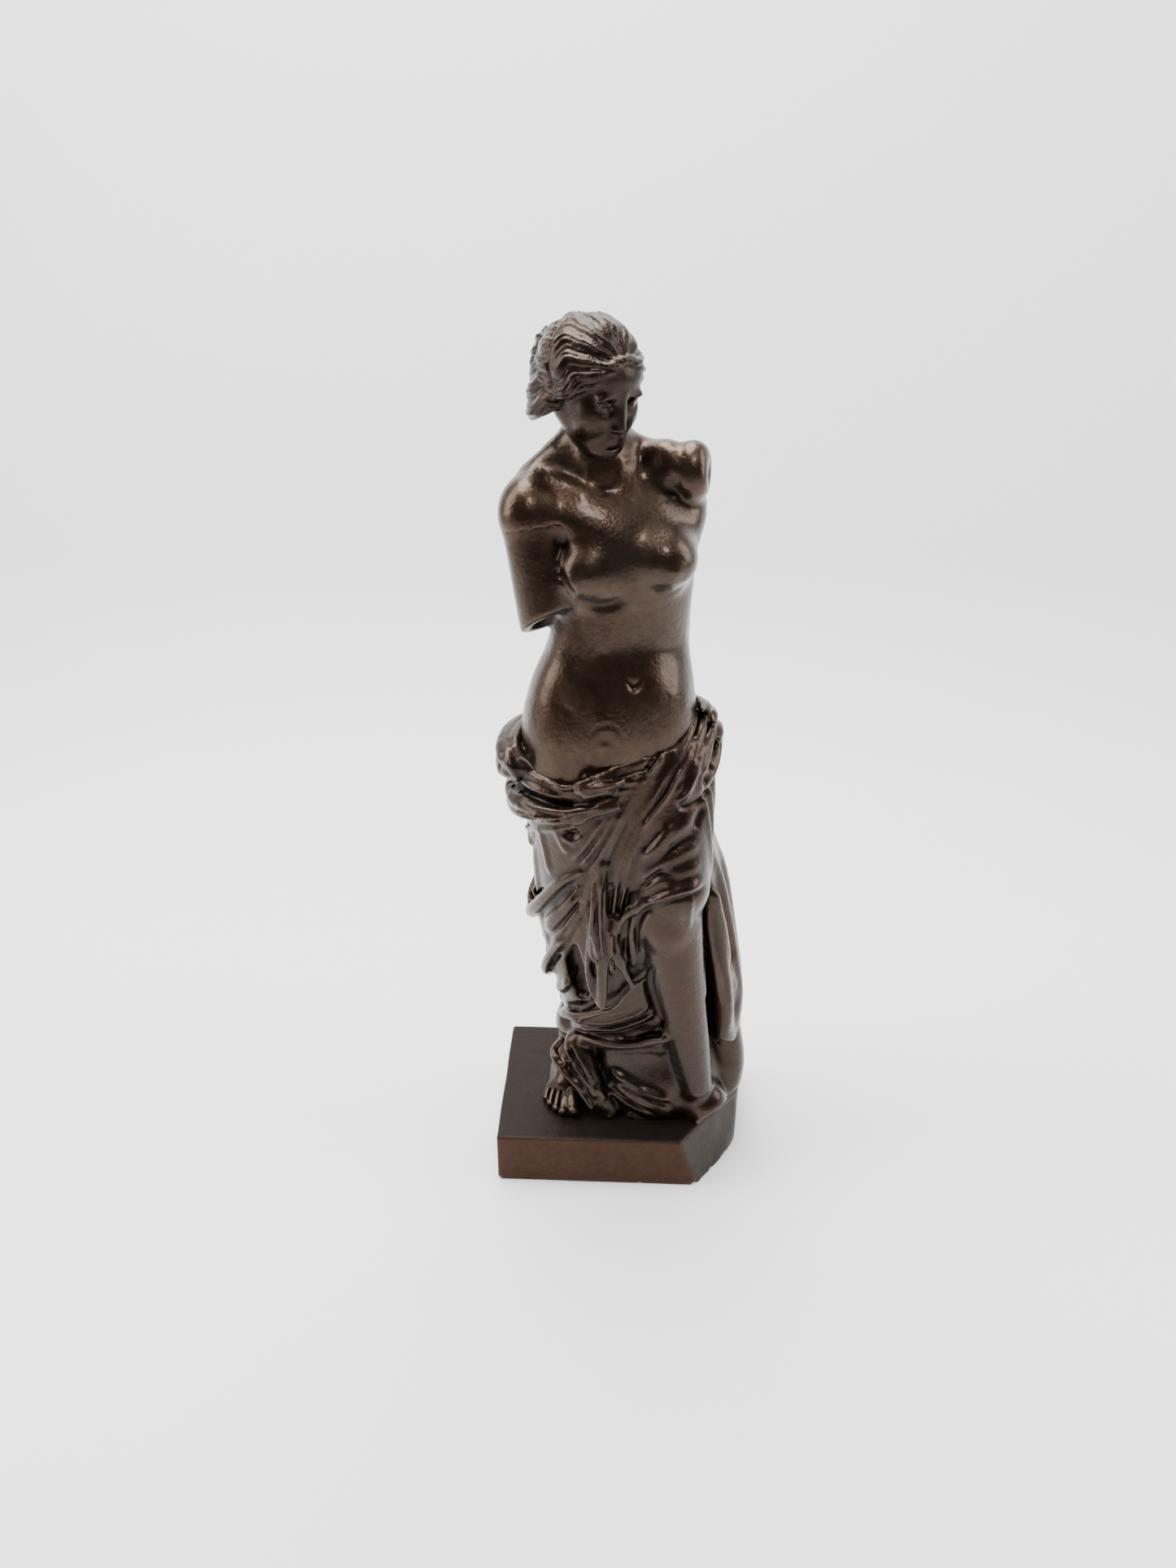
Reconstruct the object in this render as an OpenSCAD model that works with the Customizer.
// Bronze statuette of a draped standing woman, a desk-size reduction of an
// ancient marble, cast in hollow sections and pinned together on a plinth.
// Millimetres. +Z is up, the front faces -Y, the origin is the centre of the
// plinth's underside.

/* [Figure] */
// Height of the figure from the top of the plinth to the crown
figure_height = 260.3; // [210:0.1:320]
// Width across the rolled cloth at the hips
hip_width = 66; // [54:0.5:80]
// Height of the waist joint above the plinth, at the cloth's rim
rim_height = 143; // [136:0.5:150]
// Height of the neck joint above the plinth
neck_seam = 224; // [221:0.5:227]

/* [Plinth] */
// Width of the plinth, left to right
plinth_width = 86; // [78:0.5:106]
// Depth of the plinth, front to back
plinth_depth = 59; // [56:0.5:76]
// Height of the plinth
plinth_height = 19.7; // [16:0.1:26]
// How far the cut corner runs in along the front edge
corner_cut_x = 17; // [10:0.5:19]
// How far the cut corner runs back along the right side
corner_cut_y = 22; // [14:0.5:24]
// Lean of the sawn facet that takes away the front right corner
facet_lean = 14; // [8:0.5:20]
// Thickness of the plinth's side walls
plinth_wall = 3.5; // [2.5:0.1:5]
// Thickness of the plinth's top plate
plinth_top = 4; // [3:0.1:6]

/* [Castings] */
// Thickness of the cast walls of the figure
wall = 3; // [2.2:0.1:3.6]
// Depth of the waist spigot inside the cloth
spigot_depth = 20; // [14:0.5:24]
// Width of the shoulder that the waist spigot stands on
ledge = 2.4; // [1.5:0.1:3]
// Gap all round between a spigot and its socket
fit_gap = 0.15; // [0.05:0.01:0.3]
// Radius of the neck spigot
neck_spigot_r = 4.6; // [3.8:0.1:5.2]
// Depth of the neck spigot
neck_spigot_depth = 7; // [5:0.5:9]
// Radius of the arm spigot
arm_spigot_r = 3.4; // [2.6:0.1:4]
// Depth of the arm spigot
arm_spigot_depth = 5; // [4:0.5:6]
// Length of the arm stump below its joint
arm_length = 24; // [18:0.5:28]

/* [Fasteners] */
// Diameter of the fixing studs
stud_d = 4; // [3:0.5:5]
// Length of stud inside the figure's lugs
stud_in_lug = 10; // [7:0.5:12]
// Wall of metal round each stud inside its lug
lug_wall = 2.6; // [2:0.1:3.2]
// Thickness of the stud nuts
nut_height = 3.2; // [2.4:0.1:4]
// Thickness of the stud washers
washer_height = 1; // [0.6:0.1:1.4]
// Diameter of the waist pins
waist_pin_d = 2.4; // [1.6:0.1:3]
// Diameter of the neck pins and arm pins
small_pin_d = 1.6; // [1.2:0.1:2]
// Diameter of the rivets in the hanging fall of cloth
rivet_d = 2.4; // [1.8:0.1:3]
// Diameter of the dowel under the foot
dowel_d = 3; // [2:0.1:3.6]
// Diameter of the plugs in the core holes
plug_d = 5; // [3:0.1:6]
// Depth of a pin or plug head below the bronze skin
pin_sink = 0.3; // [0.1:0.05:0.6]

/* [Hidden] */
ring_points = 48;
round_steps = 48;
// The section tables are drawn at these sizes and follow the driving ones
drawn_height = 260.3;
drawn_hips = 66;
kz = figure_height / drawn_height;
kx = hip_width / drawn_hips;
top = plinth_height;
drawn_rim = 143;
rim_shift = rim_height - drawn_rim;

// Each row is a level section: height above the plinth, centre x, centre y,
// half width, half depth and turn in degrees
cloth = [
    [0, 10.4, 1, 23.8, 21.5, 0],
    [11, 10, 1, 24.2, 21, 0],
    [25, 4.5, 0, 23.5, 21, 4],
    [37, 1.5, -0.5, 24.5, 21.5, 6],
    [50, -1, -1, 26.5, 22.5, 6],
    [64, -2.5, -1.5, 27, 24, 5],
    [79, -3.5, -1.5, 28.5, 25, 4],
    [93, -3, -1.5, 28.5, 26, 3],
    [110, -4, -0.5, 29.5, 26.5, 4],
    [123, -6, 0, 33, 27.5, 6],
    [131, -6.3, 0.5, 33, 27.5, 8],
    [138, -6.6, 0.5, 32.4, 26.6, 10],
    [145, -6.3, 0.5, 31.2, 25.2, 12],
    [152, -6, 0.5, 30.2, 24.2, 12]];
body = [
    [118, -6, 0.5, 27.6, 21.2, 10],
    [138, -6, 0.5, 27.6, 21.4, 12],
    [145, -5.9, 0, 27.2, 20.8, 12],
    [154, -5.7, 0, 25.6, 19.2, 14],
    [162, -5, 0, 23.8, 17.4, 16],
    [169, -3.8, 0, 22, 15.8, 18],
    [178, -2.4, 0, 19.8, 15.6, 20],
    [187, -1.6, 0, 19.8, 16.6, 20],
    [196, -1, 0, 19.8, 18, 20],
    [203, -1.4, 0.3, 20.6, 17.6, 20],
    [206, -2.4, 0.4, 22, 17, 20],
    [210, -6, 0.8, 26.6, 15.4, 19],
    [215, -7.2, 1.6, 26.2, 13, 18],
    [219, -8.6, 2.6, 17, 10.2, 16],
    [221.5, -9.4, 3, 10.2, 8.6, 12],
    [224, -9.8, 3, 7.8, 7.9, 10],
    [228, -9.8, 3, 7.6, 7.8, 10]];
skull = [
    [219, -9.8, 3, 7.8, 7.9, 10],
    [224, -9.8, 3, 7.8, 7.9, 10],
    [228, -9.8, 2.8, 7.8, 8, 20],
    [231, -7.4, -2.4, 9.6, 12.6, 42],
    [236, -8.6, -1.6, 12, 15.4, 42],
    [243, -10.4, -0.6, 14.4, 17.4, 42],
    [250, -11.4, 0.4, 14.8, 17.8, 42],
    [255, -11.6, 0.8, 13.2, 15.8, 42],
    [258.6, -11.8, 1, 9, 11, 42],
    [260.3, -11.8, 1, 2, 2.5, 42]];

// Fullness added to the torso: centre, reach and height of each swell
swells = [
    [[-13.5, -15, 193], 8, 5.2],
    [[9.5, -14.5, 198], 8, 5.2],
    [[16, 9, 212], 7, 2.6]];
knee = [[15, -24, 84], 15, 4];

// ---- interpolation between the table rows ----
function slope(t, i) =
    let (a = max(i - 1, 0), b = min(i + 1, len(t) - 1))
    (t[b] - t[a]) / (t[b][0] - t[a][0]);
function row_below(t, h) = max([for (k = [0 : len(t) - 2]) if (k == 0 || t[k][0] <= h) k]);
function section_at(t, h) =
    let (i = row_below(t, h),
         span = t[i + 1][0] - t[i][0],
         u = min(max((h - t[i][0]) / span, 0), 1))
    (2 * u * u * u - 3 * u * u + 1) * t[i] + (u * u * u - 2 * u * u + u) * span * slope(t, i)
    + (3 * u * u - 2 * u * u * u) * t[i + 1] + (u * u * u - u * u) * span * slope(t, i + 1);

// A point of the skin at a drawn height and angle, moved out by grow
function skin_point(t, h, a, grow = 0) =
    let (s = section_at(t, h),
         x = (s[3] * kx + grow) * cos(a),
         y = (s[4] * kx + grow) * sin(a))
    [s[1] * kx + x * cos(s[5]) - y * sin(s[5]),
     s[2] * kx + x * sin(s[5]) + y * cos(s[5]),
     top + h * kz];
function flat_normal(t, h, a) =
    let (p = skin_point(t, h, a), q = skin_point(t, h, a, 1))
    (q - p) / norm(q - p);

// ---- rings of points and the solids made from them ----
function ring(t, h, grow = 0) =
    [for (j = [0 : ring_points - 1]) skin_point(t, h, 360 * j / ring_points, grow)];
function swell(p, s) =
    let (d = norm([p[0] / kx, p[1] / kx, (p[2] - top) / kz] - s[0]) / s[1])
    s[2] * kx * exp(-d * d);
function swollen_ring(t, h, list) =
    [for (j = [0 : ring_points - 1])
        let (a = 360 * j / ring_points,
             p = skin_point(t, h, a),
             n = flat_normal(t, h, a))
        p + n * (len(list) == 0 ? 0 : [for (s = list) swell(p, s)] * [for (s = list) 1])];
// Soft folds of the cloth, deepest halfway down and dying out at the hem
fold_count = 9;
fold_depth = 1.1;
function fold(h, a) =
    fold_depth * sin(fold_count * a + 1.5 * h) * sin(180 * min(max(h / 150, 0), 1));
// The rim of the cloth rises to the right hip and to the back
rim_side = 5;
rim_back = 5;
rim_fade = 25;
function rim_rise(h, a) =
    (rim_side * cos(a) + rim_back * sin(a)) * min(max((h - (drawn_rim - rim_fade)) / rim_fade, 0), 1);
function cloth_ring(h) =
    [for (j = [0 : ring_points - 1])
        let (a = 360 * j / ring_points,
             p = skin_point(cloth, h, a),
             n = flat_normal(cloth, h, a))
        p + n * (fold(h, a) + swell(p, knee)) + [0, 0, rim_rise(h, a) * kz]];
function tilted(points, h) =
    [for (j = [0 : len(points) - 1]) points[j] + [0, 0, rim_rise(h, 360 * j / ring_points) * kz]];

function wrap_faces(i, k, n) =
    [for (j = [0 : n - 1])
        for (f = [[i * n + j, k * n + j, i * n + (j + 1) % n],
                  [i * n + (j + 1) % n, k * n + j, k * n + (j + 1) % n]]) f];
// A tube with a wall: the rings run up the outside and down the inside
module ring_loop(rings) {
    n = len(rings[0]);
    m = len(rings);
    polyhedron(points = [for (r = rings) each r],
               faces = [for (i = [0 : m - 1]) each wrap_faces(i, (i + 1) % m, n)],
               convexity = 8);
}
// A cap laid in rungs across a ring, so that it suits thin and bent outlines
function cap_faces(base, n, flip) =
    [for (j = [0 : n / 2 - 2])
        for (f = [[j, j + 1, n - 1 - j], [n - 1 - j, j + 1, n - 2 - j]])
            [for (k = flip ? [2, 1, 0] : [0, 1, 2]) f[k] + base]];
// A skin closed by a flat cap on its first and last ring
module ring_chain(rings) {
    n = len(rings[0]);
    m = len(rings);
    polyhedron(points = [for (r = rings) each r],
               faces = concat(cap_faces(0, n, false),
                              [for (i = [0 : m - 2]) each wrap_faces(i, i + 1, n)],
                              cap_faces((m - 1) * n, n, true)),
               convexity = 8);
}

// ---- pins driven square into a skin ----
module skin_pin(t, h, a, d, length, sink = 0, out = 0) {
    p = skin_point(t, h, a);
    n = flat_normal(t, h, a);
    turn = atan2(n[1], n[0]);
    translate(p + n * (out - sink)) rotate([0, -90, turn])
        cylinder(d = d, h = length + out - sink, $fn = round_steps);
}

// ---- waist joint ----
spigot_foot = drawn_rim + rim_shift - spigot_depth / kz;
waist_pin_h = spigot_foot + 0.45 * spigot_depth / kz;
waist_pin_angles = [40, 140, 215, 320];
waist_pin_length = 2 * wall + 5;

// ---- places of the studs, lugs and dowel ----
lug_r = stud_d / 2 + lug_wall;
lug_height = stud_in_lug + 3;
lug_angles = [175, 22];
function stud_place(a) =
    let (p = skin_point(cloth, 6, a), n = flat_normal(cloth, 6, a))
    [p[0] - n[0] * (lug_r + 1.4), p[1] - n[1] * (lug_r + 1.4)];
stud_places = [for (a = lug_angles) stud_place(a)];
stud_below = plinth_top + washer_height + nut_height + 1;
toe_turn = -98;
foot_length = 19;
sole = 0.8;
foot_back = [-20.8 * kx, 1.8 * kx];
dowel_place = foot_back + 9 * [cos(toe_turn), sin(toe_turn)];
dowel_in_foot = 4.5;

// ---- arm joint ----
shoulder = [-29.3 * kx, -9.2 * kx, top + 206 * kz];
arm_lean = [-9, -9.5, 0];
arm_r = 7.3;
arm_end_r = 6.2;
arm_end_slant = 24;
arm_dish = 0.8;
arm_core_r = 1.8;
arm_pin_angles = [200, 290];

// ---- neck joint ----
neck_pin_angles = [88, 268];
neck_core_r = 2.6;

// ---- core holes ----
cloth_plug_levels = [52, 104];
body_plug_levels = [172, 196];
plug_angle = 95;
plug_length = wall + 1.5;

// ---- hanging fall of cloth ----
fall_top = 106;
fall_foot = 25;
fall_thickness = 3.2;
fall_wave = 0.7;
fall_hollow = 0.5;
fall_folds = 3.5;
fall_turn = 14;
fall_rivet_levels = [84, 98];
fall_boss_length = 9;
rivet_boss_wall = 2;
boss_gap = 0.35;

// ---- plinth ----
px = plinth_width / 2;
py = plinth_depth / 2;
module plinth_outline() {
    polygon([[-px, -py], [px - corner_cut_x, -py], [px - 0.42 * corner_cut_x, -py + 0.6 * corner_cut_y],
             [px - 0.14 * corner_cut_x, -py + corner_cut_y], [px, 0.33 * py], [px, py], [-px, py]]);
}
module sawn_facet() {
    turn = atan2(0.6 * corner_cut_y, 0.58 * corner_cut_x);
    size = 80;
    translate([px - corner_cut_x, -py, 0]) rotate([0, 0, turn]) rotate([facet_lean, 0, 0])
        translate([-size / 2, -size, -size / 4]) cube([size, size, size]);
}
module plinth() {
    color("#4a2c20") difference() {
        linear_extrude(plinth_height) plinth_outline();
        translate([0, 0, -1]) linear_extrude(plinth_height - plinth_top + 1)
            plinth_cavity();
        for (p = stud_places) translate([p[0], p[1], 0])
            cylinder(d = stud_d + 0.4, h = plinth_height + 1, $fn = round_steps);
        translate([dowel_place[0], dowel_place[1], 0])
            cylinder(d = dowel_d, h = plinth_height + 1, $fn = round_steps);
        sawn_facet();
    }
}
// The cavity keeps clear of the leaning facet as well as of the sides
facet_run = plinth_height * tan(facet_lean);
module plinth_cavity() {
    w = plinth_wall;
    cut_x = corner_cut_x + facet_run + w;
    cut_y = corner_cut_y + w;
    polygon([[-px + w, -py + w], [px - cut_x, -py + w],
             [px - 0.42 * corner_cut_x - facet_run - w, -py + 0.6 * cut_y + w],
             [px - 0.14 * corner_cut_x - 1.5 * w, -py + cut_y],
             [px - w, 0.33 * py + w], [px - w, py - w], [-px + w, py - w]]);
}

// ---- draped lower half ----
cloth_levels = [0, 5, 11, 18, 25, 31, 37, 44, 50, 57, 64, 72, 79, 86, 93, 101, 110, 117, 123, 128,
                133, 138];
module lower_figure() {
    rim = drawn_rim + rim_shift;
    outer = [for (h = cloth_levels) if (h < rim - 3) cloth_ring(h)];
    lip = [cloth_ring(rim - 1.5), tilted(ring(cloth, rim, -1.2), rim)];
    socket_levels = [rim, rim - spigot_depth / kz * 0.33, rim - spigot_depth / kz * 0.66, spigot_foot];
    socket = [for (h = socket_levels) tilted(ring(body, h, fit_gap), h)];
    seat = [tilted(ring(body, spigot_foot, -ledge), spigot_foot),
            tilted(ring(body, spigot_foot - 4, -ledge), spigot_foot - 4)];
    inner_levels = [for (i = [len(cloth_levels) - 1 : -1 : 0])
        if (cloth_levels[i] < spigot_foot - 9 && i % 2 == 0) cloth_levels[i]];
    inner = [for (h = inner_levels) ring(cloth, h, -wall - fold_depth)];
    color("#3b2a22") difference() {
        union() {
            ring_loop(concat(outer, lip, socket, seat, inner));
            for (p = stud_places) translate([p[0], p[1], top])
                cylinder(r = lug_r, h = lug_height, $fn = round_steps);
            for (h = fall_rivet_levels) fall_boss(h);
        }
        for (p = stud_places) translate([p[0], p[1], top - 1])
            cylinder(d = stud_d, h = stud_in_lug + 1.5, $fn = round_steps);
        waist_pin_set(14, 8);
        for (h = cloth_plug_levels) skin_pin(cloth, h, plug_angle, plug_d, 12, 0, 6);
        for (h = fall_rivet_levels) rivet_shank(h, 8, 14);
        sawn_facet();
    }
}

// ---- torso ----
body_levels = [142, 146, 150, 154, 158, 162, 166, 170, 174, 178, 182, 186, 190, 193, 196, 199, 202, 205,
               208, 211, 213, 215, 217, 219, 221];
neck_bore_r = neck_spigot_r + fit_gap;
neck_pin_h = neck_seam - neck_spigot_depth / kz / 2;
neck_pin_reach = 6.4;
neck_axis = skin_point(body, neck_seam, 0, -section_at(body, neck_seam)[3] * kx);
module upper_torso() {
    low = spigot_foot + fit_gap;
    skin = [for (h = body_levels) if (h > drawn_rim + rim_shift + 1 && h < neck_seam - 1)
            swollen_ring(body, h, swells)];
    spigot_levels = [low, low + 0.33 * spigot_depth / kz, low + 0.66 * spigot_depth / kz,
                     drawn_rim + rim_shift];
    spigot = [for (h = spigot_levels) tilted(ring(body, h), h)];
    neck = [ring(body, neck_seam)];
    core_levels = [208, 204, 198, 190, 182, 174, 166, 158, 150];
    core_top = [ring(body, 209, -wall - 4)];
    core = [for (h = core_levels) ring(body, h, -wall)];
    core_foot = [for (h = [spigot_levels[2], spigot_levels[1], low]) tilted(ring(body, h, -wall), h)];
    color("#46291d") difference() {
        union() {
            ring_chain(concat(core_top, core, core_foot, spigot, skin, neck));
            shoulder_boss();
        }
        translate([neck_axis[0], neck_axis[1], top + 205 * kz])
            cylinder(r = neck_bore_r, h = (neck_seam - 204) * kz, $fn = round_steps);
        place_arm() translate([0, 0, -1])
            cylinder(r = arm_spigot_r + fit_gap, h = arm_spigot_depth + 1.4, $fn = round_steps);
        place_arm() translate([0, 0, -arm_length])
            cylinder(r = arm_r + fit_gap, h = arm_length, $fn = round_steps);
        waist_pin_set(14, 8);
        neck_pin_set(neck_pin_reach, 6);
        place_arm() arm_pin_set(2);
        for (h = body_plug_levels) skin_pin(body, h, plug_angle, plug_d, 12, 0, 6);
    }
}
module shoulder_boss() {
    place_arm() cylinder(r = arm_r, h = arm_r, $fn = round_steps);
    place_arm() translate([0, 0, arm_r]) sphere(r = arm_r, $fn = round_steps);
}
module place_arm() { translate(shoulder) rotate(arm_lean) children(); }

// ---- head ----
skull_levels = [224, 226, 228, 230, 232, 234, 236, 239, 242, 245, 248, 251, 254, 256.5, 258.6, 259.8];
function neck_circle(h, r) =
    [for (j = [0 : ring_points - 1])
        let (a = 360 * j / ring_points)
        [neck_axis[0] + r * cos(a), neck_axis[1] + r * sin(a), top + h * kz]];
module head() {
    skin = [for (h = skull_levels) if (h > neck_seam + 0.5) ring(skull, h)];
    core_levels = [252, 247, 241, 236];
    core = [for (h = core_levels) ring(skull, h, -wall)];
    core_tip = [ring(skull, 254, -wall - 4)];
    throat = [neck_circle(232, neck_core_r - 0.1), neck_circle(neck_seam, neck_core_r - 0.1)];
    color("#3a2a20") difference() {
        union() {
            ring_chain(concat(core_tip, core, throat, [ring(skull, neck_seam)], skin,
                              [ring(skull, drawn_height)]));
            translate([neck_axis[0], neck_axis[1], top + neck_seam * kz - neck_spigot_depth])
                cylinder(r = neck_spigot_r, h = neck_spigot_depth + 1, $fn = round_steps);
        }
        translate([neck_axis[0], neck_axis[1], top + neck_seam * kz - neck_spigot_depth - 1])
            cylinder(r = neck_core_r, h = neck_spigot_depth + 6, $fn = round_steps);
        neck_pin_set(neck_pin_reach, 6);
    }
}

// ---- right arm stump, built along its own axis below the joint ----
module right_arm() {
    levels = [0, 0.2, 0.4, 0.6, 0.8, 1];
    skin = [for (u = levels) arm_ring(u, 1, 0)];
    color("#46291d") place_arm() difference() {
        union() {
            ring_chain(concat([arm_ring(1, 0.8, arm_dish)], [for (i = [5 : -1 : 0]) skin[i]]));
            cylinder(r = arm_spigot_r, h = arm_spigot_depth, $fn = round_steps);
        }
        translate([0, 0, -0.6 * arm_length])
            cylinder(r = arm_core_r, h = arm_length + arm_spigot_depth, $fn = round_steps);
        arm_pin_set(2);
    }
}
function arm_ring(u, share, lift) =
    let (r = (arm_r + (arm_end_r - arm_r) * u) * share)
    [for (j = [0 : ring_points - 1])
        let (a = 360 * j / ring_points)
        [r * cos(a), r * sin(a), -arm_length * u + lift + u * r * cos(a) * tan(arm_end_slant)]];

// ---- hanging fall of cloth at the left side ----
function fall_edge(h, u) =
    let (drop = (fall_top - h) / fall_top,
         run = 15 + 8 * drop)
    [(26.9 + 7.6 * drop + run * u * sin(fall_turn)) * kx,
     (run * u * cos(fall_turn) - 5) * kx,
     top + h * kz];
fall_normal = [cos(fall_turn), -sin(fall_turn), 0];
// The fall is hollowed a little towards the figure and folded on the outside
function fall_ring(h) =
    let (n = ring_points / 2 - 1)
    concat([for (j = [0 : n])
               let (u = j / n)
               fall_edge(h, u) + fall_normal * (0.8 + fall_thickness * (0.25 + 0.75 * sin(180 * u))
                   + fall_wave * sin(360 * fall_folds * u) * sin(180 * u))],
           [for (j = [n : -1 : 0]) fall_edge(h, j / n) + fall_normal * fall_hollow * sin(180 * j / n)]);
module drapery_fall() {
    color("#33251e") difference() {
        ring_chain([for (i = [0 : 9]) fall_ring(fall_foot + (fall_top - fall_foot) * i / 9)]);
        for (h = fall_rivet_levels) rivet_shank(h, 8, 14);
    }
}
// A rivet runs from outside the fall, through its boss, into the figure
module rivet_axis(h) {
    p = fall_edge(h, 0.5);
    translate(p) rotate([0, 90, -fall_turn]) children();
}
module rivet_shank(h, out, depth) {
    rivet_axis(h) translate([0, 0, -depth]) cylinder(d = rivet_d, h = depth + out, $fn = round_steps);
}
module fall_boss(h) {
    rivet_axis(h) translate([0, 0, -fall_boss_length])
        cylinder(d = rivet_d + 2 * rivet_boss_wall, h = fall_boss_length - boss_gap, $fn = round_steps);
}

// ---- right foot ----
function foot_ring(u) =
    let (w = (5.2 + 1.6 * sin(180 * min(u * 1.1, 1)) - 1.2 * u * u) * kx,
         rise = (10.5 - 6.5 * u) * kz,
         c = foot_back + foot_length * kx * u * [cos(toe_turn), sin(toe_turn)],
         n = ring_points / 2,
         half = n / 2 - 1)
    [for (j = [0 : n - 1])
        let (upper = j <= half,
             a = 180 * (upper ? j : n - 1 - j) / half,
             s = w * cos(a))
        [c[0] - s * sin(toe_turn), c[1] + s * cos(toe_turn), top + (upper ? sole + rise * sin(a) : 0)]];
module right_foot() {
    color("#4a2f22") difference() {
        ring_chain([for (i = [0 : 10]) foot_ring(i / 10)]);
        translate([dowel_place[0], dowel_place[1], top - 1])
            cylinder(d = dowel_d, h = dowel_in_foot + 1, $fn = round_steps);
    }
}

// ---- fasteners ----
module fixing_studs() {
    color("#8f7a4a") for (p = stud_places) translate([p[0], p[1], top - stud_below])
        cylinder(d = stud_d, h = stud_below + stud_in_lug, $fn = round_steps);
}
module stud_washers() {
    color("#a08a55") for (p = stud_places)
        translate([p[0], p[1], top - plinth_top - washer_height]) difference() {
            cylinder(d = 2.2 * stud_d, h = washer_height, $fn = round_steps);
            translate([0, 0, -1]) cylinder(d = stud_d + 0.3, h = washer_height + 2, $fn = round_steps);
        }
}
module stud_nuts() {
    color("#9a8450") for (p = stud_places)
        translate([p[0], p[1], top - plinth_top - washer_height - nut_height]) difference() {
            cylinder(d = 2 * stud_d, h = nut_height, $fn = 6);
            translate([0, 0, -1]) cylinder(d = stud_d, h = nut_height + 2, $fn = round_steps);
        }
}
module waist_pin_set(length, out) {
    for (a = waist_pin_angles) skin_pin(cloth, waist_pin_h, a, waist_pin_d, length, 0, out);
}
module neck_pin_set(length, out) {
    for (a = neck_pin_angles) skin_pin(body, neck_pin_h, a, small_pin_d, length, 0, out);
}
module arm_pin_set(out) {
    for (a = arm_pin_angles) rotate([0, 0, a]) translate([arm_core_r + 0.3, 0, arm_spigot_depth / 2])
        rotate([0, 90, 0]) cylinder(d = small_pin_d, h = arm_r - arm_core_r - 0.3 + out, $fn = round_steps);
}
module waist_pins() {
    color("#5a4030") waist_pin_set(waist_pin_length, -pin_sink);
}
module neck_pins() {
    color("#5a4030") neck_pin_set(neck_pin_reach, -pin_sink);
}
module arm_pins() {
    color("#5a4030") place_arm() arm_pin_set(-pin_sink);
}
module fall_rivets() {
    color("#5a4030") for (h = fall_rivet_levels) rivet_shank(h, fall_thickness - 0.4, fall_boss_length);
}
module foot_dowel() {
    color("#8f7a4a") translate([dowel_place[0], dowel_place[1], top - plinth_top])
        cylinder(d = dowel_d, h = plinth_top + dowel_in_foot, $fn = round_steps);
}
module core_plugs() {
    color("#4a3428") {
        for (h = cloth_plug_levels) skin_pin(cloth, h, plug_angle, plug_d, plug_length, 0, -pin_sink);
        for (h = body_plug_levels) skin_pin(body, h, plug_angle, plug_d, plug_length, 0, -pin_sink);
    }
}

plinth();
lower_figure();
upper_torso();
head();
right_arm();
drapery_fall();
right_foot();
fixing_studs();
stud_washers();
stud_nuts();
waist_pins();
neck_pins();
arm_pins();
fall_rivets();
foot_dowel();
core_plugs();
